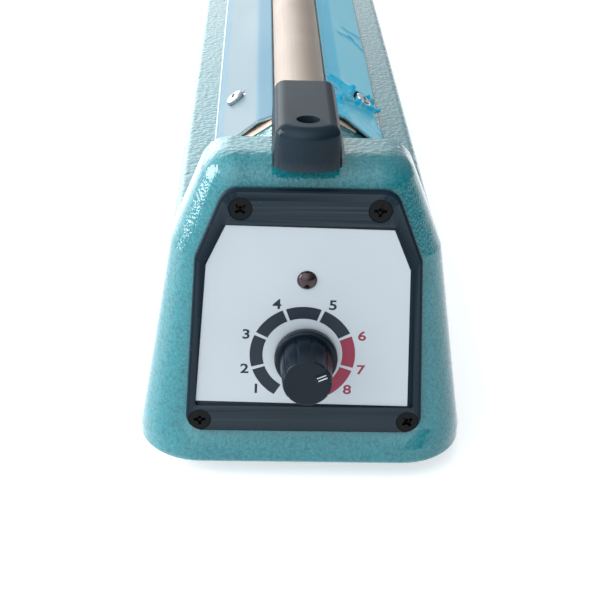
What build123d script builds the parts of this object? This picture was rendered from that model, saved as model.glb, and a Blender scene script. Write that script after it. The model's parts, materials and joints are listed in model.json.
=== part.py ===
from build123d import *
import math
import os

# Hand impulse sealer for a 400 mm seam. Millimetres, +Z up, operator's end at -Y.
# The origin is at the bottom centre of the machine, on the table.

# ---- Driving dimensions ----
SEAL = 400.0                # length of the seam, and of the two side plates
BACK = 272.0                # rear end of the casting's foot
PANEL_Y = -259.0            # dial centre, on the label's face
PANEL_Z = 36.0
PANEL_X = 0.4               # the control panel sits this far right of the casting's middle
PANEL_TILT = 2.3            # the panel leans back by this many degrees
BLOCK_DEPTH = 22.0          # from the label's face to the back of the raised front block

Z_RIM = 4.5                 # lower rim of the casting
Z_FOOT = 14.0               # the foot flare ends here
Z_SHOULDER = 62.5
Z_BLOCK = 87.0
W_FOOT = 42.0               # half widths at those heights
W_SHOULDER = 34.3
W_BLOCK = 24.5
ROOF = [(25.4, 62.8), (7.6, 75.0)]                 # right flank of the bed's roof, foot and ridge

SLOT_HALF = 8.7             # slot in the front block that takes the arm's nose
SLOT_FLOOR = 66.0

PLATE_Y0 = {1: -185.0, -1: -190.0}                  # front ends of the right and left side plates
PLATE_T = 0.5
PLATE = [(24.4, 63.98), (12.6, 73.5), (7.8, 75.36)]    # underside of the right plate, from its outer edge
CLOTH_Y = (-193.5, 212.0)

ARM_R = 7.4                 # the pressure arm's half width and crown radius
ARM_Z = 77.6                # centre of its crown
ARM_X = -0.3                # the arm leans this far left in its hinge's play
ARM_Y0 = -240.0
ARM_Y1 = 234.0
ARM_SCREW_Y = [-231.0, 225.0]
HINGE_Y = 250.0
HINGE_Z = 81.0

HANDLE_Z0 = 87.3
HANDLE_Z1 = 97.6
HANDLE_Y0 = PANEL_Y - 4.5
HANDLE_Y1 = PANEL_Y + 37.0
HANDLE_X = -0.5             # the handle sits askew on its screw, towards the left
HANDLE_DRAFT = 4.0

TAN = math.tan(math.radians(PANEL_TILT))
PANEL = Plane(
    origin=(PANEL_X, PANEL_Y, PANEL_Z),
    x_dir=(1, 0, 0),
    z_dir=(0, -math.cos(math.radians(PANEL_TILT)), math.sin(math.radians(PANEL_TILT))),
)
BEZEL_SCREWS = [(-17.0, 39.6), (17.0, 39.6), (-26.9, -18.5), (26.9, -18.5)]
FOOT_XY = [(-30.0, -228.0), (30.0, -228.0), (-30.0, 246.0), (30.0, 246.0)]
PLATE_SCREW_X = 18.9
PLATE_SCREW_Y = [-155.5, 10.0, 175.5]
PLUNGER_Y = -249.0
ELEMENT_SCREW_Y = [-211.0, 231.9]

os.makedirs("parts", exist_ok=True)


# ---- Helpers ----
def save(name, *solids):
    """Writes one node. Several solids make a group of separate, identical pieces."""
    found = [s for one in solids for s in one.solids()]
    shape = found[0] if len(found) == 1 else Compound(children=found)
    export_step(shape, f"parts/{name}.step")


def box(x0, x1, y0, y1, z0, z1):
    """A box from its limits."""
    return Pos((x0 + x1) / 2, (y0 + y1) / 2, (z0 + z1) / 2) * Box(x1 - x0, y1 - y0, z1 - z0)


def rod(x, y, z0, z1, r):
    """An upright cylinder."""
    return Pos(x, y, (z0 + z1) / 2) * Cylinder(r, z1 - z0)


def rod_x(x0, x1, y, z, r):
    """A cylinder along X."""
    return Pos((x0 + x1) / 2, y, z) * Rot(0, 90, 0) * Cylinder(r, x1 - x0)


def rod_y(y0, y1, x, z, r):
    """A cylinder along Y."""
    return Pos(x, (y0 + y1) / 2, z) * Rot(90, 0, 0) * Cylinder(r, y1 - y0)


def prism(points, y0, y1):
    """A section in X and Z, pulled along Y."""
    section = Face(Wire.make_polygon([(x, y0, z) for x, z in points], close=True))
    return Solid.extrude(section, (0, y1 - y0, 0))


def plate_xz(face, y0, y1):
    """A sketch drawn in X and Z, pulled along Y."""
    return extrude(Plane(origin=(0, y0, 0), x_dir=(1, 0, 0), z_dir=(0, -1, 0)) * face, -(y1 - y0))


def plan(z, half, y0, y1, r_front, r_back):
    """Outline of the casting at one height, with its own corner radii front and back."""
    face = Plane.XY.offset(z) * Pos(0, (y0 + y1) / 2) * Rectangle(2 * half, y1 - y0)
    face = fillet(face.vertices().group_by(Axis.Y)[0], r_front)
    if r_back:
        face = fillet(face.vertices().group_by(Axis.Y)[-1], r_back)
    return face


def front(z, inset=0.0):
    """Y of the casting's front face at a height."""
    return PANEL_Y + 1.3 + (z - PANEL_Z) * TAN + inset


def mirrored(points):
    """Closes a right-hand half section with its mirror image."""
    return points + [(-x, z) for x, z in reversed(points)]


def raised_line(points, gap):
    """An open line in X and Z, moved outwards by a gap with its corners kept sharp."""
    normals = []
    for (x0, z0), (x1, z1) in zip(points, points[1:]):
        length = math.hypot(x1 - x0, z1 - z0)
        normals.append(((z1 - z0) / length, (x0 - x1) / length))
    moved = []
    for i, (x, z) in enumerate(points):
        a = normals[max(i - 1, 0)]
        b = normals[min(i, len(normals) - 1)]
        scale = gap / (1 + a[0] * b[0] + a[1] * b[1])
        moved.append((x + (a[0] + b[0]) * scale, z + (a[1] + b[1]) * scale))
    return moved


def skin(points, low, high, y0, y1):
    """A sheet that follows a line in X and Z between two heights above it."""
    return prism(raised_line(points, low) + raised_line(points, high)[::-1], y0, y1)


def height_at(line, x):
    """Height of a flank at a distance from the middle, on the straight run from a line's first point."""
    (x0, z0), (x1, z1) = line[0], line[1]
    return z0 + (x0 - x) * (z1 - z0) / (x0 - x1)


def slotted_pan_head(r, height, cross):
    """A pan head with a cross recess, standing on Z = 0."""
    head = Pos(0, 0, height / 2) * Cylinder(r, height)
    head = fillet(head.edges().sort_by(Axis.Z)[-1], height * 0.45)
    for turn in (0, 90):
        head -= Pos(0, 0, height) * Rot(0, 0, turn) * Box(cross, cross * 0.24, height * 1.1)
    return head


def countersunk_screw(r_head, r_shank, length):
    """A countersunk cross-recess screw, its face at Z = 0 and its shank below."""
    depth = r_head - r_shank
    body = Pos(0, 0, -0.2) * Cylinder(r_head, 0.4)
    body += Pos(0, 0, -0.4 - depth / 2) * Cone(r_shank, r_head, depth)
    body += Pos(0, 0, -length / 2) * Cylinder(r_shank, length)
    for turn in (0, 90):
        body -= Rot(0, 0, turn) * Box(r_head * 1.1, r_head * 0.27, 2.2)
    body -= Pos(0, 0, -0.9) * Cone(0.1, r_head * 0.32, 1.8)
    return body


# ---- Main casting ----
def casting_outside():
    """Front block, long body with its roof, and the flared foot."""
    block_back = PANEL_Y + BLOCK_DEPTH
    block = loft(
        [
            plan(Z_FOOT, W_FOOT, front(Z_FOOT), block_back, 12, 0),
            plan(Z_SHOULDER, W_SHOULDER, front(Z_SHOULDER), block_back, 10, 0),
            plan(Z_BLOCK, W_BLOCK, front(Z_BLOCK), block_back - 1, 10, 0),
        ],
        ruled=True,
    )
    top = block.faces().sort_by(Axis.Z)[-1]
    block = fillet([e for e in top.edges() if e.center().Y < block_back - 2], 8.0)
    section = mirrored([(W_FOOT, Z_FOOT), (W_SHOULDER, Z_SHOULDER)] + ROOF)
    body = prism(section, block_back - 6, BACK - 2)
    ridges = [e for e in body.edges() if e.length > 400]
    shoulders = [e for e in ridges if abs(e.center().Z - Z_SHOULDER) < 0.1]
    body = fillet(shoulders, 2.5)
    rear = body.faces().sort_by(Axis.Y)[-1]
    body = fillet([e for e in rear.edges() if e.center().Z > Z_FOOT + 1], 4.0)
    foot = loft(
        [
            plan(Z_RIM, 43.0, front(Z_FOOT) - 2.6, BACK, 17, 8),
            plan(9.5, 43.0, front(Z_FOOT) - 2.6, BACK, 17, 8),
            plan(Z_FOOT, W_FOOT, front(Z_FOOT), BACK - 2, 12, 5),
        ],
        ruled=True,
    )
    foot = fillet(foot.faces().sort_by(Axis.Z)[0].edges(), 2.0)
    return block + body + foot


def casting_inside():
    """The hollow under the roof and inside the front block."""
    block_back = PANEL_Y + BLOCK_DEPTH
    lower = [(W_FOOT - 2.6, 0.0), (W_FOOT - 2.6, Z_FOOT), (W_SHOULDER - 3.4, Z_SHOULDER - 3.7)]
    ridge = [(24.6, 59.2), (8.0, 70.4)]
    body = prism(mirrored(lower + ridge), front(Z_FOOT) + 5.5, BACK - 5.5)
    raised = prism(
        mirrored([(W_SHOULDER - 3.6, 58.0), (W_SHOULDER - 3.2, Z_SHOULDER), (22.0, 83.0)]),
        front(Z_BLOCK) + 4.0,
        block_back - 4.5,
    )
    return body + raised


outside = casting_outside()
casting = outside - casting_inside()

# The slot for the arm's nose has its own walls and floor, and opens towards the arm.
slot_back = PANEL_Y + BLOCK_DEPTH + 1
slot_front = front(Z_BLOCK) + 3.2
casting += box(-SLOT_HALF - 2.2, SLOT_HALF + 2.2, slot_front - 1.7, slot_back - 2, SLOT_FLOOR - 2.5, 84)
casting -= box(-SLOT_HALF, SLOT_HALF, slot_front, slot_back, SLOT_FLOOR, Z_BLOCK + 2)
# Over the rear end the roof is milled flat for the hinge bracket.
casting -= box(-11.5, 11.5, 238.5, BACK + 1.0, 72.0, 80)
# Groove for the heating element's strip and its end fittings.
casting -= box(-4.2, 4.2, -219, 238.6, 74.2, 80)

# Bosses for the screws of the feet, the control panel and the side plates.
for x, y in FOOT_XY:
    side = math.copysign(1, x)
    casting += rod(x, y, 6.25, 30, 4.6)
    casting += box(min(x, side * 42), max(x, side * 42), y - 1.5, y + 1.5, 7.5, 30) & outside
for x, v in BEZEL_SCREWS:
    casting += (PANEL * Pos(x, v, -6.5) * Cylinder(3.3, 10)) & outside
FLANK = math.degrees(math.atan2(PLATE[1][1] - PLATE[0][1], PLATE[0][0] - PLATE[1][0]))
PLATE_SCREWS = [
    Pos(side * PLATE_SCREW_X, y, height_at(PLATE, PLATE_SCREW_X)) * Rot(0, side * FLANK, 0)
    for side in (-1, 1)
    for y in PLATE_SCREW_Y
]
for place in PLATE_SCREWS:
    casting += place * Pos(0, 0, -4.7) * Cylinder(2.2, 9.3)
for x, y in FOOT_XY:
    casting -= rod(x, y, 0, 24, 1.7)
for x, v in BEZEL_SCREWS:
    casting -= PANEL * Pos(x, v, -7.5) * Cylinder(1.45, 15)
for place in PLATE_SCREWS:
    casting -= place * Pos(0, 0, -4.5) * Cylinder(1.3, 11)
# Window behind the control panel, plunger hole in the slot's floor, hole for the supply lead.
casting -= PANEL * Pos(0, 11, -8) * Box(44, 42, 15)
casting -= rod(0, PLUNGER_Y, SLOT_FLOOR - 4, SLOT_FLOOR + 1, 1.75)
casting -= rod_y(BACK - 12, BACK + 2, 0, 26, 5.0)
HINGE_SCREWS = [(-5.5, 264.0), (5.5, 264.0)]
for x, y in HINGE_SCREWS:
    casting -= rod(x, y, 60, 75, 1.6)
for y in ELEMENT_SCREW_Y:
    casting -= rod(0, y, 60, 76, 1.1)
save("main_casting", casting)


# ---- Underside ----
floor_plate = box(-39.1, 39.1, front(Z_FOOT) + 5.8, BACK - 5.8, 5.0, 6.2)
for x, y in FOOT_XY:
    floor_plate -= rod(x, y, 4, 8, 1.9)
for i in range(9):
    floor_plate -= box(-16, 16, -214 + 6 * i, -211.4 + 6 * i, 4, 8)
for x in (-33.0, 33.0):
    floor_plate -= rod(x, -195, 4, 8, 1.6)
save("floor_plate", floor_plate)

foot = Pos(0, 0, 2.5) * Cylinder(8.0, 5.0)
foot = chamfer(foot.edges().sort_by(Axis.Z)[0], 1.0)
foot -= Pos(0, 0, 1.1) * Cylinder(4.2, 2.2)
foot -= Pos(0, 0, 3) * Cylinder(1.9, 8)
save("rubber_feet", *[Pos(x, y, 0) * foot for x, y in FOOT_XY])
foot_screw = Pos(0, 0, 2.15) * Rot(180, 0, 0) * slotted_pan_head(3.2, 1.7, 3.4) + rod(0, 0, 2.15, 20, 1.6)
save("foot_screws", *[Pos(x, y, 0) * foot_screw for x, y in FOOT_XY])

# ---- Control panel, drawn in the panel's own plane: label face at 0, outwards positive ----
bezel_outline = make_face(
    Polyline(
        (-21, 44.7), (21, 44.7), (28.2, 26.5), (30.7, -21.9), (-30.7, -21.9), (-28.2, 26.5), close=True
    )
)
corners = bezel_outline.vertices()
bezel_outline = fillet(corners.filter_by(lambda p: p.Y > 40), 5.0)
bezel_outline = fillet(bezel_outline.vertices().filter_by(lambda p: p.Y < -20), 4.5)
bezel_outline = fillet(bezel_outline.vertices().filter_by(lambda p: abs(p.Y - 26.5) < 0.5), 3.0)
LABEL_POINTS = [(-20.65, 34.8), (20.65, 34.8), (25.3, 24.3), (27.3, -13.7), (-27.3, -13.7), (-25.3, 24.3)]
label_outline = make_face(Polyline(*LABEL_POINTS, close=True))
LED = Pos(-0.25, 20.9, 0)
bezel = Pos(0, 0, -1.28) * extrude(bezel_outline, 1.88)
bezel = fillet(bezel.faces().sort_by(Axis.Z)[-1].edges(), 0.8)
bezel -= Pos(0, 0, -0.3) * extrude(offset(label_outline, 0.75), 2)
bezel += Pos(0, 11, -2.4) * Box(43, 41, 2.3)
bezel -= Cylinder(3.6, 20)
bezel -= LED * Cylinder(2.55, 20)
for x, v in BEZEL_SCREWS:
    bezel -= Pos(x, v, 0) * Cylinder(1.6, 20)
    bezel -= Pos(x, v, 0.4) * Cylinder(2.95, 0.8)
    bezel -= Pos(x, v, -0.675) * Cone(1.6, 2.95, 1.35)
save("control_bezel", PANEL * bezel)

label = Pos(-0.4, 0, -0.29) * Rot(0, 0, -0.9) * extrude(label_outline, 0.28)
label -= Cylinder(6.2, 4)
label -= LED * Cylinder(2.5, 4)
save("control_label", PANEL * label)

bezel_screw = countersunk_screw(2.8, 1.4, 12)
seats = [PANEL * Pos(x, v, 0.45) * Rot(0, 0, 20 + 4 * x) for x, v in BEZEL_SCREWS]
save("bezel_screws", *[seat * bezel_screw for seat in seats])

lens = Pos(0, 0, -2.1) * Cylinder(2.42, 4.4)
lens += Pos(0, 0, -1.2) * Sphere(2.8) & Pos(0, 0, 1.0) * Cylinder(2.42, 2.4)
lens += Pos(0, 0, -4.3) * Cylinder(2.9, 0.9)
lens -= Pos(0, 0, -4.9) * Box(7, 7, 0.3)
save("led_lens", PANEL * LED * lens)
clip = Pos(0, 0, -5.2) * Cylinder(4.2, 3.2) - Pos(0, 0, -4.2) * Cylinder(3.0, 1.3)
clip -= Pos(0, 0, -5.2) * Cylinder(1.4, 4)
save("led_clip", PANEL * LED * clip)

# ---- Timer knob and potentiometer ----
KNOB_ANGLE = 24.3           # the pointer stands here at rest, from the +X side
knob = Pos(0, 0, 1.9) * Cylinder(8.0, 2.2)
knob = fillet(knob.edges().sort_by(Axis.Z)[-1], 0.7)
grip = Pos(0, 0, 9.1) * Cone(6.75, 6.1, 12.4)
grip = fillet(grip.edges().sort_by(Axis.Z)[-1], 0.5)
for i in range(10):
    grip -= Rot(0, 0, 36 * i + 6.3) * Pos(6.95, 0, 9.6) * Rot(0, -3, 0) * Cylinder(0.75, 14)
knob += grip
knob -= Pos(0, 0, 2.6) * Cylinder(5.9, 3.9)
knob -= Pos(0, 0, 6.0) * Cylinder(3.02, 14)
POINTER = Rot(0, 0, KNOB_ANGLE) * Pos(3.9, 0, 15.3)
knob += POINTER * Pos(0, 0, 0.0) * Box(3.5, 2.0, 0.5)
knob -= POINTER * Pos(0, 0, 0.15) * Box(2.9, 1.4, 0.5)
save("knob", PANEL * knob)
mark = Box(2.4, 0.22, 0.3)
save("knob_mark", *[PANEL * POINTER * Pos(0, side * 0.4, 0.06) * mark for side in (-1, 1)])
shaft = Pos(0, 0, 4.9) * Cylinder(3.0, 15.8) - Pos(3.4, 0, 9.5) * Box(2, 8, 6)
save("pot_shaft", PANEL * shaft)
pot = Pos(0, 0, -7.5) * Cylinder(8.2, 7.0) + Cylinder(3.55, 8.0)
pot -= Pos(0, 0, 0.5) * Cylinder(3.06, 8.0)
for x in (-5.0, 0.0, 5.0):
    pot += Pos(x, -7.0, -12.5) * Box(1.2, 0.8, 5.0)
save("potentiometer", PANEL * pot)
nut = Pos(0, 0, -0.28) * extrude(RegularPolygon(5.0, 6, major_radius=False), 2.0) - Cylinder(3.6, 8)
save("pot_nut", PANEL * nut)

# ---- Timer board ----
board = Pos(0, -2.0, -14.0) * Box(50, 32, 1.6)
for x in (-5.0, 0.0, 5.0):
    board -= Pos(x, -7.0, -14.0) * Box(1.6, 1.2, 4)
for x in (-17.0, 17.0):
    board -= Pos(x, 8.0, -14.0) * Cylinder(1.3, 4)
save("timer_board", PANEL * board)
post = Pos(0, 0, -8.4) * Cylinder(2.5, 9.5) - Pos(0, 0, -8.4) * Cylinder(1.2, 12)
save("board_posts", *[PANEL * Pos(x, 8.0, 0) * post for x in (-17.0, 17.0)])
can = Pos(0, 0, -21.4) * Cylinder(5.0, 13.0)
can = fillet(can.edges().sort_by(Axis.Z)[0], 0.6)
save("timing_capacitor", PANEL * Pos(-17.0, -9.0, 0) * can)
sink = Pos(0, 0, -21.9) * Box(1.5, 20, 14)
for v in (-8.0, -4.0, 0.0, 4.0, 8.0):
    sink += Pos(3.0, v, -21.9) * Box(5.0, 1.2, 14)
save("heat_sink", PANEL * Pos(17.0, -4.0, 0) * sink)
triac = Pos(0, 0, -21.0) * Box(4.4, 10.0, 9.0)
for v in (-2.5, 0.0, 2.5):
    triac += Pos(0, v, -15.7) * Box(0.6, 0.9, 1.7)
save("triac", PANEL * Pos(13.9, -4.0, 0) * triac)
chip = Pos(0, 0, -16.8) * Box(9.8, 6.4, 3.2)
for x in (-3.8, -1.3, 1.3, 3.8):
    chip += Pos(x, 0, -15.0) * Box(0.5, 8.0, 0.4)
save("timer_chip", PANEL * Pos(-1.0, 5.0, 0) * chip)
resistor = Pos(0, 0, -16.1) * Rot(0, 90, 0) * Cylinder(1.1, 6.3)
save("resistors", *[PANEL * Pos(-2.0, v, 0) * resistor for v in (-13.0, -9.5, -6.0)])

# ---- Microswitch under the slot ----
switch = box(-3.2, 3.2, -250.9, -231.1, 53.2, 63.4)
switch -= rod(0, PLUNGER_Y, 60.0, 64.0, 1.75)
for y in (-247.0, -237.5):
    switch -= rod_x(-6, 6, y, 56.0, 1.15)
for y in (-249.4, -241.0, -232.6):
    switch += box(-0.4, 0.4, y - 1.2, y + 1.2, 49.8, 53.3)
save("microswitch", switch)
hanger = box(3.3, 4.5, -250.9, -231.1, 54.0, 63.4)
hanger += box(3.3, 12.5, -246.0, -238.4, 62.2, 63.4)
for y in (-247.0, -237.5):
    hanger -= rod_x(0, 8, y, 56.0, 1.15)
save("switch_hanger", hanger)
bolt = rod_x(-3.3, 5.6, 0, 0, 1.05) + rod_x(-4.8, -3.25, 0, 0, 1.9) + rod_x(4.55, 6.0, 0, 0, 2.1)
save("switch_bolts", *[Pos(0, y, 56.0) * bolt for y in (-247.0, -237.5)])
plunger = rod(0, PLUNGER_Y, 61.6, 68.3, 1.68)
plunger = fillet(plunger.edges().sort_by(Axis.Z)[-1], 0.6)
save("switch_plunger", plunger)

# ---- Transformer and supply ----
TX_Y = -195.0
core = box(-27, 27, TX_Y - 17, TX_Y + 17, 7.7, 51.7)
for x in (-13.5, 13.5):
    core -= box(x - 4.5, x + 4.5, TX_Y - 20, TX_Y + 20, 16.7, 42.7)
save("transformer_core", core)
coil = fillet(box(-17.8, 17.8, TX_Y - 26, TX_Y + 26, 18.6, 40.8).edges().filter_by(Axis.Z), 6.0)
bobbin = box(-17.8, 17.8, TX_Y - 26, TX_Y + 26, 16.9, 18.4)
bobbin += box(-17.8, 17.8, TX_Y - 26, TX_Y + 26, 41.0, 42.5)
bobbin += box(-10.2, 10.2, TX_Y - 18.2, TX_Y + 18.2, 16.9, 42.5)
leg = box(-9.2, 9.2, TX_Y - 17.2, TX_Y + 17.2, 10, 50)
save("transformer_bobbin", bobbin - leg)
save("transformer_coil", coil - box(-10.4, 10.4, TX_Y - 18.4, TX_Y + 18.4, 10, 50))
strap = box(-28.4, 28.4, TX_Y - 8, TX_Y + 8, 6.3, 53.0) - box(-27.1, 27.1, TX_Y - 9, TX_Y + 9, 6.2, 51.8)
strap += box(-36.5, -27.1, TX_Y - 8, TX_Y + 8, 6.3, 7.5) + box(27.1, 36.5, TX_Y - 8, TX_Y + 8, 6.3, 7.5)
for x in (-33.0, 33.0):
    strap -= rod(x, TX_Y, 5, 9, 1.6)
save("transformer_strap", strap)
strap_screw = rod(0, 0, 4.9, 12, 1.5) + rod(0, 0, 3.0, 4.95, 3.0) + rod(0, 0, 7.55, 9.9, 2.9)
save("transformer_screws", *[Pos(x, TX_Y, 0) * strap_screw for x in (-33.0, 33.0)])
terminals = box(-14, 14, -148, -132, 6.3, 18)
for x in (-9.0, 0.0, 9.0):
    terminals -= rod_y(-150, -130, x, 11.5, 1.8)
    terminals -= rod(x, -140, 15.5, 19, 2.2)
save("terminal_block", terminals)
holder = box(20, 32, -162, -128, 6.3, 9.5)
holder += box(20, 32, -160, -153, 6.3, 17) + box(20, 32, -137, -130, 6.3, 17)
holder -= rod_y(-165, -125, 26, 13.0, 2.65)
save("fuse_holder", holder)
save("fuse", rod_y(-158, -132, 26, 13.0, 2.6))
grommet = rod_y(BACK - 7.6, 274.3, 0, 26, 4.95) + rod_y(BACK - 1.9, 274.3, 0, 26, 7.0)
grommet = fillet(grommet.edges().sort_by(Axis.Y)[-1], 0.8) - rod_y(250, 280, 0, 26, 3.4)
save("cord_grommet", grommet)

# ---- Bed: heating element, release cloth, side plates and their protective film ----
save("element_strip", box(-4.1, 4.1, -201, 203, 74.25, 74.98))
save("heating_band", box(-1.4, 1.4, -209.6, 222, 75.0, 75.1))
RIDGE_X, RIDGE_Z = ROOF[1]
cloth_line = [(15.8, height_at(ROOF, 15.8)), (RIDGE_X, RIDGE_Z)]
cloth_line += [(-RIDGE_X, RIDGE_Z), (-17.0, height_at(ROOF, 17.0))]
cloth = skin(cloth_line, 0.12, 0.32, *CLOTH_Y)
save("release_cloth", cloth - [place * Cylinder(2.4, 12) for place in PLATE_SCREWS])
holes = [place * Cylinder(1.5, 8) for place in PLATE_SCREWS]
tears = [place * Cylinder(3.6, 8) for place in PLATE_SCREWS]
flip = Plane.YZ
for name, side in (("right", 1), ("left", -1)):
    start = PLATE_Y0[side]
    plate = skin(PLATE, 0.0, PLATE_T, start, start + SEAL)
    film = skin(PLATE, PLATE_T + 0.03, PLATE_T + 0.15, start, start + SEAL - 0.5)
    if side < 0:
        plate = plate.mirror(flip)
        film = film.mirror(flip)
    save(f"side_plate_{name}", plate - holes)
    save(f"film_{name}", film - tears)
plate_screw = slotted_pan_head(2.9, 1.8, 3.4) + Pos(0, 0, -4.3) * Cylinder(1.25, 8.6)
save("side_plate_screws", *[place * Pos(0, 0, PLATE_T + 0.02) * plate_screw for place in PLATE_SCREWS])

# ---- End fittings of the heating element ----
front_base = box(-3.9, 3.9, -218.5, -202, 74.25, 74.95)
rear_base = box(-3.9, 3.9, 204, 234, 74.25, 74.95) + box(-3.3, 3.3, 229.7, 233.9, 74.9, 79.4)
drills = [rod(0, y, 70, 85, 1.15) for y in ELEMENT_SCREW_Y]
save("element_bases", front_base - drills, rear_base - drills)
clamp = fillet(box(-3.4, 3.4, -216, -206, 75.15, 77.6).edges().filter_by(Axis.Z), 1.0)
save("front_electrode", clamp - drills)
slider = fillet(box(-3.4, 3.4, 216, 226, 75.15, 80.0).edges().filter_by(Axis.Z), 1.0)
slider -= rod_y(218.5, 228, 0, 77.6, 2.3)
save("rear_electrode", slider)
element_screw = slotted_pan_head(2.0, 1.3, 2.4) + rod(0, 0, -11, 0.1, 1.05)
seats = zip(ELEMENT_SCREW_Y, (77.65, 79.45))
save("element_screws", *[Pos(0, y, z) * element_screw for y, z in seats])
coil_path = Helix(pitch=1.0, height=8.0, radius=1.55)
wire = sweep(Plane(origin=coil_path @ 0, z_dir=coil_path % 0) * Circle(0.3), coil_path)
save("tension_spring", Pos(0, 221.2, 77.6) * Rot(-90, 0, 0) * wire)

# ---- Pressure arm, drawn about its own middle and moved to ARM_X ----
ARM = Pos(ARM_X, 0, 0)
crown = Pos(0, ARM_Z) * Circle(ARM_R) + Pos(0, ARM_Z - 4) * Rectangle(2 * ARM_R, 8)
cut = Pos(0, ARM_Z) * Circle(ARM_R - 1.4) + Pos(0, ARM_Z - 6) * Rectangle(2 * ARM_R - 2.8, 12)
channel_section = (crown - cut) & (Pos(0, 86.3) * Rectangle(40, 20))
channel = plate_xz(channel_section, ARM_Y0, ARM_Y1)
crown_top = ARM_Z + ARM_R
for y in ARM_SCREW_Y:
    channel -= rod(0, y, 70, 90, 1.35)
save("arm_channel", ARM * channel)
strip = fillet(box(-5.85, 5.85, -197, 213, 75.5, 78.6).edges().filter_by(Axis.Y), 0.5)
save("silicone_strip", ARM * strip)

inner = rod_y(ARM_Y0, -222, 0, ARM_Z, ARM_R - 1.5) & box(-9, 9, -250, -215, ARM_Z, 90)
nose = box(-7.2, 7.2, -251.3, ARM_Y0 - 0.1, 68.8, HANDLE_Z0 - 0.02)
nose = fillet(nose.edges().filter_by(Axis.X).sort_by(Axis.Z)[:2], 2.0)
nose += inner + box(-5.5, 5.5, ARM_Y0 - 0.2, -222, ARM_Z - 0.8, ARM_Z + 1.5)
nose -= rod(0, -245.2, 60, 90, 2.05) + rod(0, -245.2, 60, 71.6, 3.5)
nose -= rod(0, ARM_SCREW_Y[0], 70, 90, 1.35)
save("arm_nose", ARM * nose)
handle_bolt = Pos(0, 0, 71.6) * Rot(180, 0, 0) * slotted_pan_head(3.3, 2.2, 3.6)
handle_bolt += rod(0, 0, 71.5, 93.4, 1.95)
save("handle_screw", ARM * Pos(0, -245.2, 0) * handle_bolt)

# The tail joins the leaning channel to the hinge, which stays in the middle.
tail = rod_y(216, ARM_Y1 + 0.2, 0, ARM_Z, ARM_R - 1.5) & box(-9, 9, 210, 240, 81.2, 90)
tail += box(-6.0, 6.0, ARM_Y1 + 0.1, 243, 80.4, 85.0) + box(-6.0, 6.0, 238.5, 243, 76.4, 85.0)
tail = ARM * (tail - rod(0, ARM_SCREW_Y[1], 70, 90, 1.35))
tail += box(-2.8, 2.8, 242, HINGE_Y, 75.5, 86.0) + rod_x(-2.8, 2.8, HINGE_Y, HINGE_Z, 6.2)
tail -= rod_x(-10, 10, HINGE_Y, HINGE_Z, 3.06)
save("arm_tail", tail)
arm_screw = slotted_pan_head(2.5, 1.6, 2.9) + rod(0, 0, -5, 0.1, 1.25)
save("arm_screws", *[ARM * Pos(0, y, crown_top + 0.02) * arm_screw for y in ARM_SCREW_Y])

# ---- Handle: bowed front, soft edges, a saddle that grips the channel's crown ----
outline = make_face(
    [
        Edge.make_three_point_arc((-8.4, HANDLE_Y0 + 4.2), (0, HANDLE_Y0), (8.4, HANDLE_Y0 + 4.2)),
        Edge.make_line((8.4, HANDLE_Y0 + 4.2), (8.3, HANDLE_Y1)),
        Edge.make_line((8.3, HANDLE_Y1), (-8.3, HANDLE_Y1)),
        Edge.make_line((-8.3, HANDLE_Y1), (-8.4, HANDLE_Y0 + 4.2)),
    ]
)
outline = fillet(outline.vertices().group_by(Axis.Y)[0], 4.0)
outline = fillet(outline.vertices().group_by(Axis.Y)[-1], 2.6)
handle = Pos(HANDLE_X, 0, HANDLE_Z0) * extrude(outline, HANDLE_Z1 - HANDLE_Z0, taper=HANDLE_DRAFT)
handle = fillet(handle.faces().sort_by(Axis.Z)[-1].edges(), 2.9)
handle += box(-5.6, 5.6, -238, -226, 82.2, HANDLE_Z0 + 1) - rod_y(-240, -220, 0, ARM_Z, ARM_R + 0.05)
handle -= rod(HANDLE_X, PANEL_Y + 4.0, HANDLE_Z1 - 7.5, HANDLE_Z1 + 1, 2.8)
handle -= rod(0, -245.2, HANDLE_Z0 - 1, 94, 2.0)
handle -= rod(0, -231, 80, 88.5, 3.3)
save("handle", ARM * handle)

# ---- Hinge ----
bracket = box(-11.2, 11.2, 239.2, 269.6, 72.05, 74.0)
ear = box(6.4, 8.4, 242.5, 258.5, 73, HINGE_Z) + rod_x(6.4, 8.4, HINGE_Y, HINGE_Z, 8.0)
ear &= box(0, 20, 242.5, 258.5, 72.5, 95)
bracket += ear + ear.mirror(flip)
bracket -= rod_x(-12, 12, HINGE_Y, HINGE_Z, 3.02)
for x, y in HINGE_SCREWS:
    bracket -= rod(x, y, 70, 80, 1.7)
save("hinge_bracket", bracket)
hinge_screw = slotted_pan_head(2.8, 1.8, 3.3) + rod(0, 0, -8, 0.1, 1.5)
save("hinge_screws", *[Pos(x, y, 74.05) * hinge_screw for x, y in HINGE_SCREWS])
pin = rod_x(-10.6, 10.6, HINGE_Y, HINGE_Z, 3.0)
clips = []
for side in (-1, 1):
    groove = rod_x(min(side * 8.6, side * 9.4), max(side * 8.6, side * 9.4), HINGE_Y, HINGE_Z, 5.0)
    groove -= rod_x(-12, 12, HINGE_Y, HINGE_Z, 2.3)
    pin -= groove
    clip = rod_x(min(side * 8.65, side * 9.35), max(side * 8.65, side * 9.35), HINGE_Y, HINGE_Z, 4.8)
    clip -= rod_x(-12, 12, HINGE_Y, HINGE_Z, 2.35)
    clips.append(clip - box(-12, 12, HINGE_Y - 1.2, HINGE_Y + 1.2, HINGE_Z + 1, HINGE_Z + 6))
save("hinge_pin", pin)
save("hinge_clips", *clips)
turns = Helix(pitch=0.86, height=2.1, radius=3.95)
coil_wire = sweep(Plane(origin=turns @ 0, z_dir=turns % 0) * Circle(0.38), turns)
springs = [Pos(x, HINGE_Y, HINGE_Z) * Rot(0, 90, 0) * coil_wire for x in (-5.7, 3.6)]
save("return_spring", *springs)
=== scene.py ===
import json
import math

import bmesh
import bpy
from mathutils import Matrix, Vector, noise


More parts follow.
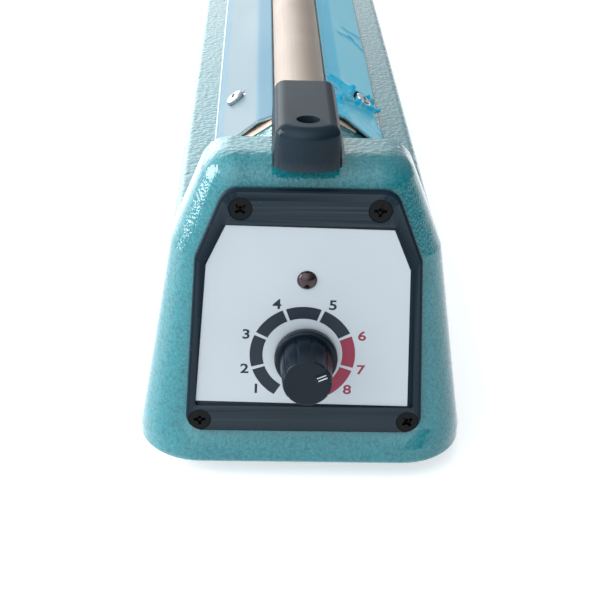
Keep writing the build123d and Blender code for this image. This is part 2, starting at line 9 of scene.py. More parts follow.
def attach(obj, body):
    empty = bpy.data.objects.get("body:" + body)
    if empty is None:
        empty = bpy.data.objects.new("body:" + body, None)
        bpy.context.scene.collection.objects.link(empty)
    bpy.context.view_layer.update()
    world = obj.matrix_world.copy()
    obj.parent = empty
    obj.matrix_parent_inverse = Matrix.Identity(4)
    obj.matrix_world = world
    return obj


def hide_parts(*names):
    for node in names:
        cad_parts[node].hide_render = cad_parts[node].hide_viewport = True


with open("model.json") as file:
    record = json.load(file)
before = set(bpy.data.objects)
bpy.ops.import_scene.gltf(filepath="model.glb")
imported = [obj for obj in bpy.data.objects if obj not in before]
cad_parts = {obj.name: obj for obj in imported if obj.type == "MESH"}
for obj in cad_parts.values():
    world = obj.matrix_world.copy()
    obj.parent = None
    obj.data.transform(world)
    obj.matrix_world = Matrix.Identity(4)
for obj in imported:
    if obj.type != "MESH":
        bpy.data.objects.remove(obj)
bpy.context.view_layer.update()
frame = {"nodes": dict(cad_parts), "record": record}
NODES = frame["nodes"]
MM = 0.001

# ---- Sizes shared with the CAD, in millimetres ----
PANEL_X = 0.4
PANEL_Y = -259.0
PANEL_Z = 36.0
PANEL_TILT = math.radians(2.3)
ROOF = [(25.4, 62.8), (7.6, 75.0)]                     # right flank of the bed, foot and ridge
PLATE = [(24.4, 63.98), (12.6, 73.5), (7.8, 75.36)]    # underside of the right side plate
PLATE_T = 0.5
PLATE_Y0 = {1: -185.0, -1: -190.0}                     # front ends of the right and left plates
SEAL = 400.0
PLATE_SCREW_X = 18.9
PLATE_SCREW_Y = [-155.5, 10.0, 175.5]


# ---- Camera ----
YAW, PITCH, ROLL = 0.03741, 0.46297, 0.03250
forward = Vector((math.sin(YAW) * math.cos(PITCH), math.cos(YAW) * math.cos(PITCH), -math.sin(PITCH)))
right = Vector((math.cos(YAW), -math.sin(YAW), 0))
up = right.cross(forward)
across = right * math.cos(ROLL) + up * math.sin(ROLL)
upward = up * math.cos(ROLL) - right * math.sin(ROLL)
camera = bpy.data.objects.new("camera", bpy.data.cameras.new("camera"))
camera.data.sensor_width = 36.0
camera.data.lens = 83.8
camera.data.clip_start = 0.01
camera.matrix_world = Matrix.Translation((-0.01313, -0.56952, 0.20691)) @ Matrix(
    (across, upward, -forward)
).transposed().to_4x4()
bpy.context.scene.collection.objects.link(camera)
bpy.context.scene.camera = camera
bpy.context.scene.view_settings.view_transform = "Standard"


# ---- Materials ----
def tint(code):
    """Linear colour of an sRGB hex code."""
    values = [int(code[i:i + 2], 16) / 255 for i in (0, 2, 4)]
    return [v / 12.92 if v <= 0.04045 else ((v + 0.055) / 1.055) ** 2.4 for v in values] + [1.0]


class Shader:
    """A Principled material built from texture nodes in object coordinates."""

    def __init__(self, name, **fixed):
        self.material = bpy.data.materials.new(name)
        self.material.use_nodes = True
        self.nodes = self.material.node_tree.nodes
        self.links = self.material.node_tree.links
        self.bsdf = self.nodes["Principled BSDF"]
        self.place = self.nodes.new("ShaderNodeTexCoord").outputs["Object"]
        for key, value in fixed.items():
            self.bsdf.inputs[key.replace("_", " ")].default_value = value

    def add(self, kind, inputs, output=0, **settings):
        """A node with its settings and inputs, each a socket or a value. Returns one of its outputs."""
        node = self.nodes.new(kind)
        for key, value in settings.items():
            setattr(node, key, value)
        for key, value in inputs.items():
            if isinstance(value, bpy.types.NodeSocket):
                self.links.new(value, node.inputs[key])
            else:
                node.inputs[key].default_value = value
        return node.outputs[output]

    def at(self, stretch=(1, 1, 1)):
        """Object coordinates, stretched."""
        return self.add("ShaderNodeMapping", {"Vector": self.place, "Scale": stretch})

    def noise(self, scale, detail=2.0, rough=0.5, stretch=(1, 1, 1)):
        """Noise from 0 to 1, with features of about 1/scale metres."""
        inputs = {"Vector": self.at(stretch), "Scale": scale, "Detail": detail, "Roughness": rough}
        return self.add("ShaderNodeTexNoise", inputs)

    def cells(self, scale, where):
        """Smoothed distance to the nearest cell centre."""
        return self.add("ShaderNodeTexVoronoi", {"Vector": where, "Scale": scale}, feature="SMOOTH_F1")

    def math(self, operation, a, b=0.0, c=0.0):
        return self.add("ShaderNodeMath", {0: a, 1: b, 2: c}, operation=operation)

    def span(self, value, low, high, to_low=0.0, to_high=1.0):
        """Maps low..high to to_low..to_high, clamped."""
        inputs = {"Value": value, "From Min": low, "From Max": high, "To Min": to_low, "To Max": to_high}
        return self.add("ShaderNodeMapRange", inputs)

    def blend(self, share, a, b):
        """Colour a at share 0 and b at share 1."""
        node = self.nodes.new("ShaderNodeMix")
        node.data_type = "RGBA"
        for index, value in ((0, share), (6, a), (7, b)):
            if isinstance(value, bpy.types.NodeSocket):
                self.links.new(value, node.inputs[index])
            else:
                node.inputs[index].default_value = value
        return node.outputs[2]

    def bump(self, height, depth):
        """Bump of a height from 0 to 1, depth in metres."""
        return self.add("ShaderNodeBump", {"Height": height, "Distance": depth, "Strength": 1.0})

    def edges(self):
        """1 on sharp outer edges, 0 elsewhere."""
        return self.span(self.add("ShaderNodeNewGeometry", {}, "Pointiness"), 0.52, 0.6)

    def done(self, colour=None, rough=None, normal=None, **more):
        """Links the finished values and returns the material."""
        wanted = {"Base Color": colour, "Roughness": rough, "Normal": normal, "Coat Normal": normal}
        wanted.update({key.replace("_", " "): value for key, value in more.items()})
        for key, value in wanted.items():
            if value is not None:
                self.links.new(value, self.bsdf.inputs[key])
        return self.material


def hammertone():
    """Glossy teal hammer finish: flowing grains under a clear gloss, larger where the paint lay level."""
    s = Shader("hammertone_paint", Specular_IOR_Level=0.08, Coat_Weight=1.0, Coat_Roughness=0.05)
    facing = s.add("ShaderNodeNewGeometry", {}, "Normal")
    level = s.span(s.add("ShaderNodeSeparateXYZ", {"Vector": facing}, "Z"), 0.55, 0.9)
    drift = s.add("ShaderNodeTexNoise", {"Vector": s.at(), "Scale": 520, "Detail": 1.0}, "Color")
    pull = s.add("ShaderNodeVectorMath", {0: drift, "Scale": 0.0012}, operation="SCALE")
    where = s.add("ShaderNodeVectorMath", {0: s.at(), 1: pull}, operation="ADD")
    small = s.span(s.cells(1600, where), 0.08, 0.8, 1.0, 0.0)
    large = s.span(s.cells(780, where), 0.08, 0.8, 1.0, 0.0)
    more = s.math("SUBTRACT", s.math("MULTIPLY", large, 2.8), small)
    grain = s.math("MULTIPLY_ADD", more, level, small)
    height = s.math("MULTIPLY_ADD", s.noise(300, 1.0), 1.2, grain)
    shade = s.math("MULTIPLY_ADD", s.noise(70, 2.0), 0.2, s.math("MULTIPLY", small, 0.8))
    colour = s.blend(s.span(shade, 0.1, 0.9), tint("0c555e"), tint("1b7680"))
    colour = s.blend(s.math("MULTIPLY", s.edges(), 0.2), colour, tint("7db6bc"))
    return s.done(colour, s.span(small, 0.0, 1.0, 0.46, 0.34), s.bump(height, 0.00005))


def moulded(name, dark, light, rough, grain, grain_scale, wear, coat=0.0, shine=0.5, **more):
    """Moulded plastic, rubber or cast metal: fine grain, faint blotches and paler edges."""
    s = Shader(name, Coat_Weight=coat, Coat_Roughness=0.15, Specular_IOR_Level=shine, **more)
    fine = s.noise(grain_scale, 2.0)
    blotch = s.noise(60, 3.0)
    tone = s.math("MULTIPLY_ADD", blotch, 0.6, s.math("MULTIPLY", fine, 0.4))
    colour = s.blend(s.span(tone, 0.3, 0.7), tint(dark), tint(light))
    colour = s.blend(s.math("MULTIPLY", s.edges(), wear), colour, tint("c9ced0"))
    specks = s.span(s.noise(900, 1.0), 0.76, 0.8)
    colour = s.blend(s.math("MULTIPLY", specks, wear), colour, tint("aab4ba"))
    return s.done(colour, s.span(blotch, 0.3, 0.7, rough - 0.04, rough + 0.05), s.bump(fine, grain))


def brushed(name, dark, light, rough, stretch=(1, 0.02, 1), metallic=1.0, scale=2600, depth=0.000004):
    """Metal with fine drawn lines along its longest way, and cloudy tarnish."""
    s = Shader(name, Metallic=metallic)
    lines = s.noise(scale, 2.0, 0.6, stretch)
    cloud = s.noise(45, 3.0)
    tone = s.math("MULTIPLY_ADD", cloud, 0.6, s.math("MULTIPLY", lines, 0.4))
    colour = s.blend(s.span(tone, 0.3, 0.7), tint(dark), tint(light))
    roughness = s.span(lines, 0.3, 0.7, rough - 0.06, rough + 0.08)
    return s.done(colour, roughness, s.bump(lines, depth))


def woven(name, dark, light, pitch=0.0009, rough=0.45, depth=0.00006):
    """Plain weave of flat glass yarns under a thin smooth coat."""
    s = Shader(name, Coat_Weight=0.25, Coat_Roughness=0.25, Sheen_Weight=0.1)
    turn = 2 * math.pi / pitch
    warp, weft = [
        s.math("SINE", s.math("MULTIPLY", s.add("ShaderNodeSeparateXYZ", {"Vector": s.at()}, axis), turn))
        for axis in "XY"
    ]
    weave = s.span(s.math("MULTIPLY", warp, weft), -1, 1)
    soil = s.noise(90, 4.0)
    tone = s.math("MULTIPLY_ADD", soil, 0.6, s.math("MULTIPLY", weave, 0.4))
    colour = s.blend(s.span(tone, 0.25, 0.75), tint(dark), tint(light))
    return s.done(colour, s.span(weave, 0, 1, rough + 0.1, rough - 0.05), s.bump(weave, depth))


def plastic_film(name, pale, deep, shine, gloss):
    """Blue protective film: pale where it lies flat on the metal, deep where it is lifted and doubled, and
    deeper on the facet under the arm as painted shade.
    """
    s = Shader(name, Specular_IOR_Level=shine, Coat_Weight=gloss, Coat_Roughness=0.08)
    fold_and_shade = s.add("ShaderNodeAttribute", {}, "Fac", attribute_name="fold_and_shade")
    ripple = s.noise(120, 2.0, 0.5, (1, 0.12, 1))
    colour = s.blend(s.math("MULTIPLY_ADD", ripple, 0.08, fold_and_shade), tint(pale), tint(deep))
    cloud = s.noise(30, 2.0, 0.5, (1, 0.3, 1))
    return s.done(colour, s.span(cloud, 0.3, 0.7, 0.26, 0.36), s.bump(ripple, 0.00003))


def printed_label():
    """Pale satin print film with a faint grain."""
    s = Shader("label_print", Coat_Weight=0.15, Coat_Roughness=0.3)
    fine = s.noise(5200, 2.0)
    cloud = s.noise(28, 3.0)
    colour = s.blend(s.span(cloud, 0.3, 0.7), tint("9fa9b0"), tint("a6aeb5"))
    return s.done(colour, s.span(fine, 0.3, 0.7, 0.38, 0.5), s.bump(fine, 0.000004))


def ink(name, dark, light):
    """Thin matt print with fine specks."""
    s = Shader(name, Specular_IOR_Level=0.3)
    speck = s.noise(3800, 2.0)
    colour = s.blend(s.span(speck, 0.35, 0.65), tint(dark), tint(light))
    return s.done(colour, s.span(speck, 0.3, 0.7, 0.4, 0.52), s.bump(speck, 0.000003))


def indicator():
    """Dark red lens that lets some light in."""
    s = Shader("led_red", Transmission_Weight=0.2, Coat_Weight=0.3, Coat_Roughness=0.03, IOR=1.4)
    cloud = s.noise(500, 2.0)
    colour = s.blend(cloud, tint("16060c"), tint("2c0c15"))
    return s.done(colour, s.span(cloud, 0, 1, 0.1, 0.2))


def clear_glass(name, colour):
    """Clear glass with a faint tint."""
    s = Shader(name, Transmission_Weight=0.9, IOR=1.46)
    cloud = s.noise(300, 2.0)
    return s.done(s.blend(cloud, tint(colour), tint("ffffff")), s.span(cloud, 0, 1, 0.03, 0.08))


MATERIALS = {
    "hammertone_paint": hammertone(),
    "zinc_sheet": brushed("zinc_sheet", "a9b3b8", "c8d0d4", 0.32),
    "foot_rubber": moulded("foot_rubber", "16181a", "202224", 0.75, 0.00003, 2200, 0.05),
    "bright_screw": brushed("bright_screw", "a7adb2", "cfd5d9", 0.2, (1, 1, 0.1)),
    "spring_steel": brushed("spring_steel", "8b9196", "b9bec2", 0.25, (1, 1, 1)),
    "black_screw": moulded("black_screw", "020406", "05090c", 0.14, 0.000004, 3000, 0.0, 0.12, 0.06),
    "bezel_plastic": moulded("bezel_plastic", "081721", "0b1f2b", 0.34, 0.00001, 3600, 0.05, 0.0, 0.08),
    "label_print": printed_label(),
    "led_red": indicator(),
    "knob_plastic": moulded("knob_plastic", "06101a", "0b1823", 0.24, 0.000005, 3600, 0.04, 0.0, 0.16),
    "white_paint": ink("white_paint", "a9b4b9", "bcc6ca"),
    "grey_metal": brushed("grey_metal", "7d858a", "a3abb0", 0.4),
    "board_green": moulded("board_green", "1f5a37", "2d7047", 0.4, 0.000008, 2600, 0.0, 0.3),
    "brass_parts": brushed("brass_parts", "a98a45", "d0b266", 0.28, (1, 1, 0.2)),
    "component_black": moulded("component_black", "15171a", "212427", 0.5, 0.00001, 3000, 0.05),
    "resistor_tan": moulded("resistor_tan", "b79a72", "cdb289", 0.4, 0.000008, 2600, 0.0),
    "plunger_red": moulded("plunger_red", "9c2622", "b83530", 0.35, 0.000006, 3000, 0.1),
    "cast_aluminium": moulded("cast_aluminium", "8f9496", "b1b6b8", 0.45, 0.00003, 900, 0.3, Metallic=0.9),
    "core_steel": brushed("core_steel", "4b5054", "70767b", 0.5, (1, 1, 30)),
    "bobbin_nylon": moulded("bobbin_nylon", "cfc9b4", "dcd7c6", 0.5, 0.00001, 2600, 0.0),
    "copper_winding": brushed("copper_winding", "8a4a20", "b5693a", 0.35, (0.05, 0.05, 1), depth=0.00006),
    "fuse_glass": clear_glass("fuse_glass", "e6f0f0"),
    "phenolic": woven("phenolic", "4d331f", "6b4a2f", 0.0006, 0.45, 0.00001),
    "nichrome": brushed("nichrome", "77797a", "a2a4a5", 0.35),
    "ptfe_cloth": woven("ptfe_cloth", "aa9c8e", "c4b8aa"),
    "plate_aluminium": brushed("plate_aluminium", "b4bcc2", "d5dbdf", 0.3),
    "film_blue": plastic_film("film_blue", "8ed6da", "009dc2", 0.15, 0.08),
    "arm_anodised": brushed("arm_anodised", "83766b", "928479", 0.5, (1, 0.01, 1), 0.15, 1800, 0.000004),
    "silicone": moulded("silicone", "8e3a2c", "a4493a", 0.6, 0.00002, 2000, 0.0),
    "handle_plastic": moulded("handle_plastic", "0b1821", "12242f", 0.3, 0.000006, 3400, 0.02, 0.3, 0.0),
}
INK_DARK = ink("ink_dark", "091724", "0f1f2c")
INK_RED = ink("ink_red", "722036", "842640")
# A darker, greyer copy of the blue film for the smooth left film: painted shade that offsets the strong
# key light on that side.
FILM_DIMMED_FOR_LIGHT = plastic_film("film_blue_dimmed_for_light", "566a72", "246882", 0.08, 0.0)
for item in frame["record"]["subparts"]:
    mesh = NODES[item["node"]].data
    mesh.materials.clear()
    mesh.materials.append(MATERIALS[item["material_slot"]])


# ---- New pieces ----
def piece(name, maker, material, body):
    """A finished bmesh becomes a named piece that rides on a body."""
    mesh = bpy.data.meshes.new(name)
    maker.to_mesh(mesh)
    maker.free()
    mesh.materials.append(material)
    obj = bpy.data.objects.new(name, mesh)
    bpy.context.scene.collection.objects.link(obj)
    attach(obj, body)
    return obj


# ---- Print on the timer's scale ----
PANEL = Matrix(
    (
        (1, 0, 0, PANEL_X * MM),
        (0, math.sin(PANEL_TILT), -math.cos(PANEL_TILT), PANEL_Y * MM),
        (0, math.cos(PANEL_TILT), math.sin(PANEL_TILT), PANEL_Z * MM),
        (0, 0, 0, 1),
    )
)
LABEL_TURN = math.radians(-0.9)        # the label was stuck on slightly askew
INK_LOW, INK_HIGH = -0.02, 0.01        # the print's underside and face, from the dial's plane
PRINT_CENTRE = Vector((-0.85, 0.25))   # the print's own centre, from the dial's
RING_R = (10.11, 13.39)
RING_START, RING_STEP, RING_GAP = 240.0, 300.0 / 7, 1.9
DIGIT_HEIGHT, DIGIT_WIDEN = 2.7, 1.2
DIGITS = {
    "1": (-12.5, -9.5), "2": (-15.5, -3.8), "3": (-15.2, 5.9), "4": (-7.6, 14.3),
    "5": (6.4, 14.2), "6": (14.1, 5.8), "7": (14.2, -3.8), "8": (10.9, -9.5),
}


def ring_segment(number):
    """One block of the scale's ring, as a thin solid."""
    first = RING_START - RING_STEP * number - RING_GAP
    last = RING_START - RING_STEP * (number + 1) + RING_GAP
    maker = bmesh.new()
    steps = 20
    rows = []
    for i in range(steps + 1):
        angle = math.radians(first + (last - first) * i / steps)
        way = Vector((math.cos(angle), math.sin(angle)))
        row = []
        for radius, depth in zip(RING_R + RING_R[::-1], (INK_LOW, INK_LOW, INK_HIGH, INK_HIGH)):
            flat = PRINT_CENTRE + way * radius
            row.append(maker.verts.new(PANEL @ (Vector((flat.x, flat.y, depth)) * MM)))
        rows.append(row)
    for a, b in zip(rows, rows[1:]):
        for k in range(4):
            maker.faces.new((a[k], a[(k + 1) % 4], b[(k + 1) % 4], b[k]))
    maker.faces.new(rows[0][::-1])
    maker.faces.new(rows[-1])
    bmesh.ops.recalc_face_normals(maker, faces=maker.faces)
    colour = INK_RED if number >= 5 else INK_DARK
    return piece(f"scale_ring_{number + 1}", maker, colour, "base")


def digit(text, place):
    """One figure of the scale, cut from the built-in typeface and made a little bolder."""
    curve = bpy.data.curves.new("figure", "FONT")
    curve.body = text
    curve.extrude = 0.01
    curve.offset = 0.022
    shape = bpy.data.objects.new("figure", curve)
    bpy.context.scene.collection.objects.link(shape)
    bpy.context.view_layer.update()
    mesh = bpy.data.meshes.new_from_object(shape)
    bpy.data.objects.remove(shape)
    maker = bmesh.new()
    maker.from_mesh(mesh)
    low = [min(v.co[i] for v in maker.verts) for i in range(3)]
    high = [max(v.co[i] for v in maker.verts) for i in range(3)]
    middle = (Vector(low) + Vector(high)) / 2
    scale = DIGIT_HEIGHT / (high[1] - low[1])
    for v in maker.verts:
        flat = (v.co - middle) * scale
        flat.x *= DIGIT_WIDEN
        flat.z = 0
        flat.rotate(Matrix.Rotation(LABEL_TURN, 3, "Z"))
        depth = INK_HIGH if v.co.z > 0 else INK_LOW
        v.co = PANEL @ (Vector((flat.x + place[0], flat.y + place[1], depth)) * MM)
    colour = INK_RED if text in "678" else INK_DARK
    return piece(f"scale_figure_{text}", maker, colour, "base")


for number in range(7):
    ring_segment(number)
for text, place in DIGITS.items():
    digit(text, place)


# ---- Sheets that lie over the bed ----
def raised_line(points, gap):
    """An open line in X and Z, moved outwards by a gap with its corners kept sharp."""
    ways = [(Vector(b) - Vector(a)).normalized() for a, b in zip(points, points[1:])]
    normals = [Vector((way.y, -way.x)) for way in ways]
    moved = []
    for i, point in enumerate(points):
        a, b = normals[max(i - 1, 0)], normals[min(i, len(normals) - 1)]
        moved.append(Vector(point) + (a + b) * (gap / (1 + a.dot(b))))
    return moved


class Strip:
    """A sheet's section: a line in X and Z walked by its arc length, with rounded corners."""

    def __init__(self, points, soften, turn):
        self.points = points
        self.soften = soften
        self.turn = turn            # 1 where the outside lies right of the walk, -1 where it lies left
        self.runs = [(b - a).length for a, b in zip(points, points[1:])]
        self.length = sum(self.runs)

    def on_line(self, s):
        for a, b, run in zip(self.points, self.points[1:], self.runs):
            if s <= run or b is self.points[-1]:
                return a.lerp(b, s / run)
            s -= run

    def at(self, s):
        """Place and outward normal at an arc length."""
        reach = min(self.soften, s, self.length - s)
        here = (self.on_line(s - reach) + self.on_line(s) * 2 + self.on_line(s + reach)) / 4
        way = self.on_line(min(s + 0.3, self.length)) - self.on_line(max(s - 0.3, 0))
        way.normalize()
        return here, Vector((way.y, -way.x)) * self.turn


def sheet_mesh(strip, side, y_line, across, lift, skip=None, circles=(), fold_and_shade=None):
    """Grid over a strip. Lift raises it by arc length and Y, circles are clean holes, and the tint
    function deepens the colour at folds and as painted shade.
    """
    maker = bmesh.new()
    mark = maker.verts.layers.float.new("fold_and_shade")
    grid = []
    for y in y_line:
        row = []
        for i in range(across + 1):
            s = strip.length * i / across
            yy = y
            for cs, cy, radius in circles:
                away = Vector((s - cs, y - cy))
                if 0.78 * radius < away.length < 1.2 * radius:
                    away *= radius / away.length
                    s, yy = cs + away.x, cy + away.y
            here, normal = strip.at(min(max(s, 0), strip.length))
            here = here + normal * lift(s, yy)
            vert = maker.verts.new((side * here.x * MM, yy * MM, here.y * MM))
            vert[mark] = fold_and_shade(s, yy) if fold_and_shade else 0.0
            row.append((vert, s, yy))
        grid.append(row)
    for a, b in zip(grid, grid[1:]):
        for i in range(across):
            ring = [a[i], a[i + 1], b[i + 1], b[i]]
            s = sum(one[1] for one in ring) / 4
            y = sum(one[2] for one in ring) / 4
            inside = any(math.hypot(s - cs, y - cy) < radius * 0.97 for cs, cy, radius in circles)
            if inside or (skip and skip(s, y)):
                continue
            corners = [one[0] for one in ring]
            maker.faces.new(corners if side * strip.turn < 0 else corners[::-1])
    loose = [v for v in maker.verts if not v.link_faces]
    bmesh.ops.delete(maker, geom=loose, context="VERTS")
    return maker


def thicken(obj, thickness):
    """Gives a sheet its thickness, inwards from its face."""
    change = obj.modifiers.new("thickness", "SOLIDIFY")
    change.thickness = thickness * MM
    change.offset = -1
    for polygon in obj.data.polygons:
        polygon.use_smooth = True


def y_steps(parts):
    """Y values from runs of (start, end, step)."""
    line = []
    for start, end, step in parts:
        count = max(1, round((end - start) / step))
        line += [start + (end - start) * i / count for i in range(count)]
    return line + [parts[-1][1]]


def wobble(s, y, scale, seed):
    """Smooth noise from -1 to 1 over a sheet."""
    return noise.noise(Vector((s / scale, y / scale, seed)))


FILM_T = 0.1
FILM_HOLE_R = 3.35
film_strip = Strip(raised_line(PLATE[::-1], -(PLATE_T + 0.14)), 0.8, -1)
INNER = math.dist(PLATE[1], PLATE[2])                       # arc length of the inner facet
OUTER = math.dist(PLATE[0], PLATE[1])
SCREW_S = INNER + OUTER * (PLATE_SCREW_X - PLATE[1][0]) / (PLATE[0][0] - PLATE[1][0])
FILM_LENGTH = SEAL - 0.5
FOLDS = [
    # ends as (arc length, Y) in millimetres, then half width, height and tint
    ((1.6, -151), (8.5, -155), 1.3, 1.1, 1.0),
    ((8.5, -155), (15.5, -149.5), 1.1, 1.5, 1.0),
    ((15.5, -149.5), (20.4, -147), 1.2, 1.1, 0.9),
    ((2.2, -160), (3.4, -172), 1.2, 0.8, 0.9),
    ((3.4, -172), (10.5, -163.5), 1.4, 1.3, 1.0),
    ((10.5, -163.5), (20.4, -155.5), 1.5, 1.7, 1.0),
    ((5.0, -165), (12.0, -158.8), 0.8, 0.9, 0.7),
    ((4.2, -176), (6.6, -183), 0.9, 0.6, 0.7),
    ((17.6, -151), (20.4, -160), 1.0, 1.0, 1.0),
    ((9.0, -88), (14.0, -83), 2.3, 0.35, 0.85),
    ((14.0, -83), (19.5, -86), 2.0, 0.4, 0.9),
    ((12.0, -76), (18.5, -71), 2.4, 0.35, 0.8),
    ((5.5, 20), (19.5, 34), 1.4, 0.7, 0.6),
    ((6.0, 96), (13.0, 90), 1.2, 0.6, 0.5),
    ((12.0, 150), (20.0, 163), 1.6, 0.9, 0.7),
]


def fold_share(s, y, end_a, end_b, width):
    """How near a point is to a fold's line: 1 on it, 0 outside its width."""
    a, b, p = Vector(end_a), Vector(end_b), Vector((s, y))
    along = max(0.0, min(1.0, (p - a).dot(b - a) / (b - a).length_squared))
    bent = wobble(s, y, 2.6, 4.0) * 0.7
    return max(0.0, 1 - abs((p - a.lerp(b, along)).length + bent) / width)


def torn_lift(s, y):
    """Height of the wrinkled right film over its plate."""
    height = 0.05 + 0.05 * wobble(s, y, 14, 1.0)
    near_tear = math.exp(-(((y + 160) / 16) ** 2))
    height += near_tear * 0.35 * max(0.0, wobble(s, y, 3.2, 2.0) + 0.1)
    for end_a, end_b, width, top, _ in FOLDS:
        height += top * fold_share(s, y, end_a, end_b, width) ** 0.8
    return height * min(1.0, (s + 0.4) / 1.6)


def torn_tint(s, y):
    """Deep where the right film is lifted, folded or in the arm's shade."""
    # painted shade: the inner facet, under the arm, starts deeper than the outer one
    tint_here = 0.82 if s < INNER else 0.62
    tint_here += 0.3 * math.exp(-(((y + 160) / 9) ** 2)) * max(0.0, wobble(s, y, 4, 3.0) + 0.2)
    for end_a, end_b, width, _, strength in FOLDS:
        tint_here = max(tint_here, strength * min(1.0, 1.8 * fold_share(s, y, end_a, end_b, width * 1.3)))
    return max(tint_here, 0.75 if s > film_strip.length - 0.8 and y < -150 else 0.0)


def torn_away(s, y):
    """The right film's outer edge is ragged by the front screw, where it has been pulled off it."""
    edge = film_strip.length - 1.1 - 1.6 * abs(wobble(0, y, 2.1, 7.0)) - 0.8 * wobble(0, y, 0.9, 9.0)
    ragged = -166 < y < -141 and s > edge
    hole = math.hypot(s - SCREW_S + 0.5, (y - PLATE_SCREW_Y[0]) * 0.9)
    return ragged or hole < 2.5 + 1.1 * wobble(s, y, 2.0, 5.0)


def over_end(y, start):
    """The film's front edge is pressed down over the end of its plate."""
    return -0.45 * max(0.0, 1 - (y - start) / 0.5)


screw_holes = [(SCREW_S, y, FILM_HOLE_R) for y in PLATE_SCREW_Y]
RIGHT_Y, LEFT_Y = PLATE_Y0[1], PLATE_Y0[-1]
right_rows = y_steps([(RIGHT_Y, -135, 0.5), (-135, -60, 0.9), (-60, RIGHT_Y + FILM_LENGTH, 1.6)])
maker = sheet_mesh(
    film_strip, 1, right_rows, 44,
    lambda s, y: torn_lift(s, y) + over_end(y, RIGHT_Y), torn_away, screw_holes[1:], torn_tint,
)
film_right = piece("film_right_torn", maker, MATERIALS["film_blue"], "base")

maker = sheet_mesh(
    film_strip, -1, y_steps([(LEFT_Y, -140, 0.5), (-140, LEFT_Y + FILM_LENGTH, 1.6)]), 32,
    lambda s, y: 0.04 + 0.05 * wobble(s, y, 18, 11.0) + over_end(y, LEFT_Y), None, screw_holes,
    # painted shade: the inner facet, under the arm, is tinted deeper; a strip along the outer edge is
    # deeper too
    lambda s, y: 0.6 if s < INNER else 0.4 * (s > film_strip.length - 2.6),
)
film_left = piece("film_left_smooth", maker, FILM_DIMMED_FOR_LIGHT, "base")
for film, side in ((film_right, "right"), (film_left, "left")):
    thicken(film, FILM_T)
    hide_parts(f"film_{side}")

CLOTH_T = 0.2
CLOTH_X = (15.8, -17.0)


def roof_height(x):
    (x0, z0), (x1, z1) = ROOF
    return z0 + (x0 - abs(x)) * (z1 - z0) / (x0 - x1)


cloth_line = [(CLOTH_X[0], roof_height(CLOTH_X[0])), ROOF[1]]
cloth_line += [(-ROOF[1][0], ROOF[1][1]), (CLOTH_X[1], roof_height(CLOTH_X[1]))]
cloth_strip = Strip(raised_line(cloth_line, 0.33), 0.6, 1)
CLOTH_Y0, CLOTH_Y1 = -193.5, 212.0
CLOTH_SKEW = 8.0            # the front edge was cut this much out of square
maker = sheet_mesh(
    cloth_strip, 1, y_steps([(CLOTH_Y0, -170, 0.6), (-170, 204, 2.4), (204, CLOTH_Y1, 0.5)]), 60,
    lambda s, y: -0.02 + 0.02 * wobble(s, y, 3.0, 21.0),
)
for v in maker.verts:
    front_share = max(0.0, (-170 * MM - v.co.y) / ((-170 - CLOTH_Y0) * MM))
    right_share = max(0.0, v.co.x / MM + 4) / (CLOTH_X[0] + 4)
    v.co.y += CLOTH_SKEW * MM * front_share * right_share
cloth = piece("release_cloth_sheet", maker, MATERIALS["ptfe_cloth"], "base")
thicken(cloth, CLOTH_T)
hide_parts("release_cloth")

# ---- Studio ----
FLOOR_HALF = 40.0                      # metres
FLOOR_GLOW = (0.52, 0.05)              # the floor's own light, near the machine and far to its right
FLOOR_FADE = (0.3, 1.2)                # between these X
SKY = 0.38                             # brightness sideways, then how it grows towards +X, +Y and +Z
SKY_SLOPES = {"X": -0.32, "Y": 0.1, "Z": 0.42}
GLOWS = [
    # towards, brightness, fall-off: a broad bright area behind on the left, and the open front above
    ((-0.5, 0.85, 0.2), 3.8, 8.5),
    ((-0.45, -0.62, 0.64), 2.3, 3.0),
]
floor = bpy.data.objects.new("floor", bpy.data.meshes.new("floor"))
maker = bmesh.new()
bmesh.ops.create_grid(maker, x_segments=1, y_segments=1, size=FLOOR_HALF)
maker.to_mesh(floor.data)
maker.free()
bpy.context.scene.collection.objects.link(floor)
s = Shader("studio_floor", Emission_Color=(0.97, 0.99, 1.0, 1.0))
shade = s.blend(s.noise(3, 2.0), tint("cdd0d2"), tint("d2d4d6"))
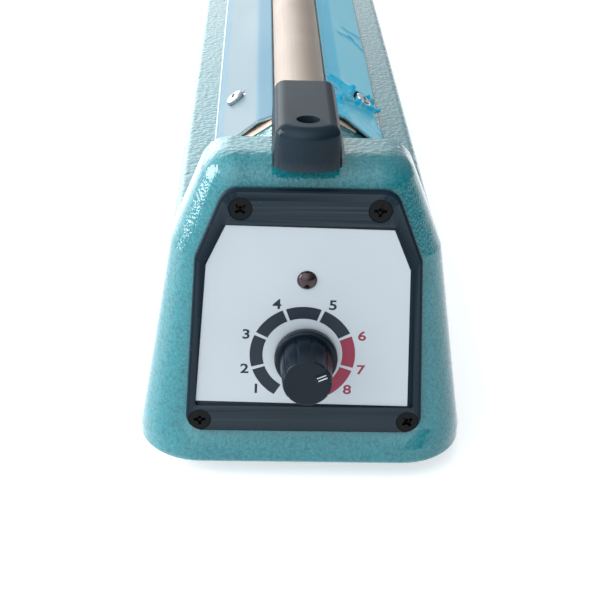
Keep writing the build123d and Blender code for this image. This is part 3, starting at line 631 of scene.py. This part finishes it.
fade = s.span(s.add("ShaderNodeSeparateXYZ", {"Vector": s.at()}, "X"), *FLOOR_FADE, *FLOOR_GLOW)
floor.data.materials.append(s.done(shade, s.span(s.noise(40), 0, 1, 0.5, 0.6), Emission_Strength=fade))

world = bpy.data.worlds.new("studio")
bpy.context.scene.world = world
world.use_nodes = True
tree = world.node_tree
way = tree.nodes.new("ShaderNodeTexCoord").outputs["Generated"]
axes = tree.nodes.new("ShaderNodeSeparateXYZ")
tree.links.new(way, axes.inputs[0])


def compute(kind, operation, *inputs, output=0):
    """A maths node of the world, each input a socket or a value."""
    node = tree.nodes.new(kind)
    node.operation = operation
    for socket, value in zip(node.inputs, inputs):
        if isinstance(value, bpy.types.NodeSocket):
            tree.links.new(value, socket)
        else:
            socket.default_value = value
    return node.outputs[output]


level = SKY
for axis, slope in SKY_SLOPES.items():
    level = compute("ShaderNodeMath", "MULTIPLY_ADD", axes.outputs[axis], slope, level)
for towards, brightness, fall in GLOWS:
    centre = Vector(towards).normalized()
    near = compute("ShaderNodeVectorMath", "DOT_PRODUCT", way, centre, output="Value")
    near = compute("ShaderNodeMath", "MAXIMUM", near, 0.0)
    near = compute("ShaderNodeMath", "POWER", near, fall)
    level = compute("ShaderNodeMath", "MULTIPLY_ADD", near, brightness, level)
sky = tree.nodes["Background"]
tree.links.new(level, sky.inputs["Strength"])
sky.inputs["Color"].default_value = (0.96, 0.985, 1.0, 1.0)


def softbox(name, place, aim, size, power):
    """An area light at a place, aimed at a point. Metres and watts."""
    lamp = bpy.data.lights.new(name, "AREA")
    lamp.shape = "RECTANGLE"
    lamp.size, lamp.size_y = size
    lamp.energy = power
    obj = bpy.data.objects.new(name, lamp)
    obj.location = place
    obj.rotation_mode = "QUATERNION"
    obj.rotation_quaternion = (Vector(aim) - Vector(place)).to_track_quat("-Z", "Y")
    bpy.context.scene.collection.objects.link(obj)


softbox("key", (-0.85, -0.16, 0.37), (0, -0.22, 0.06), (0.48, 0.56), 9.5)
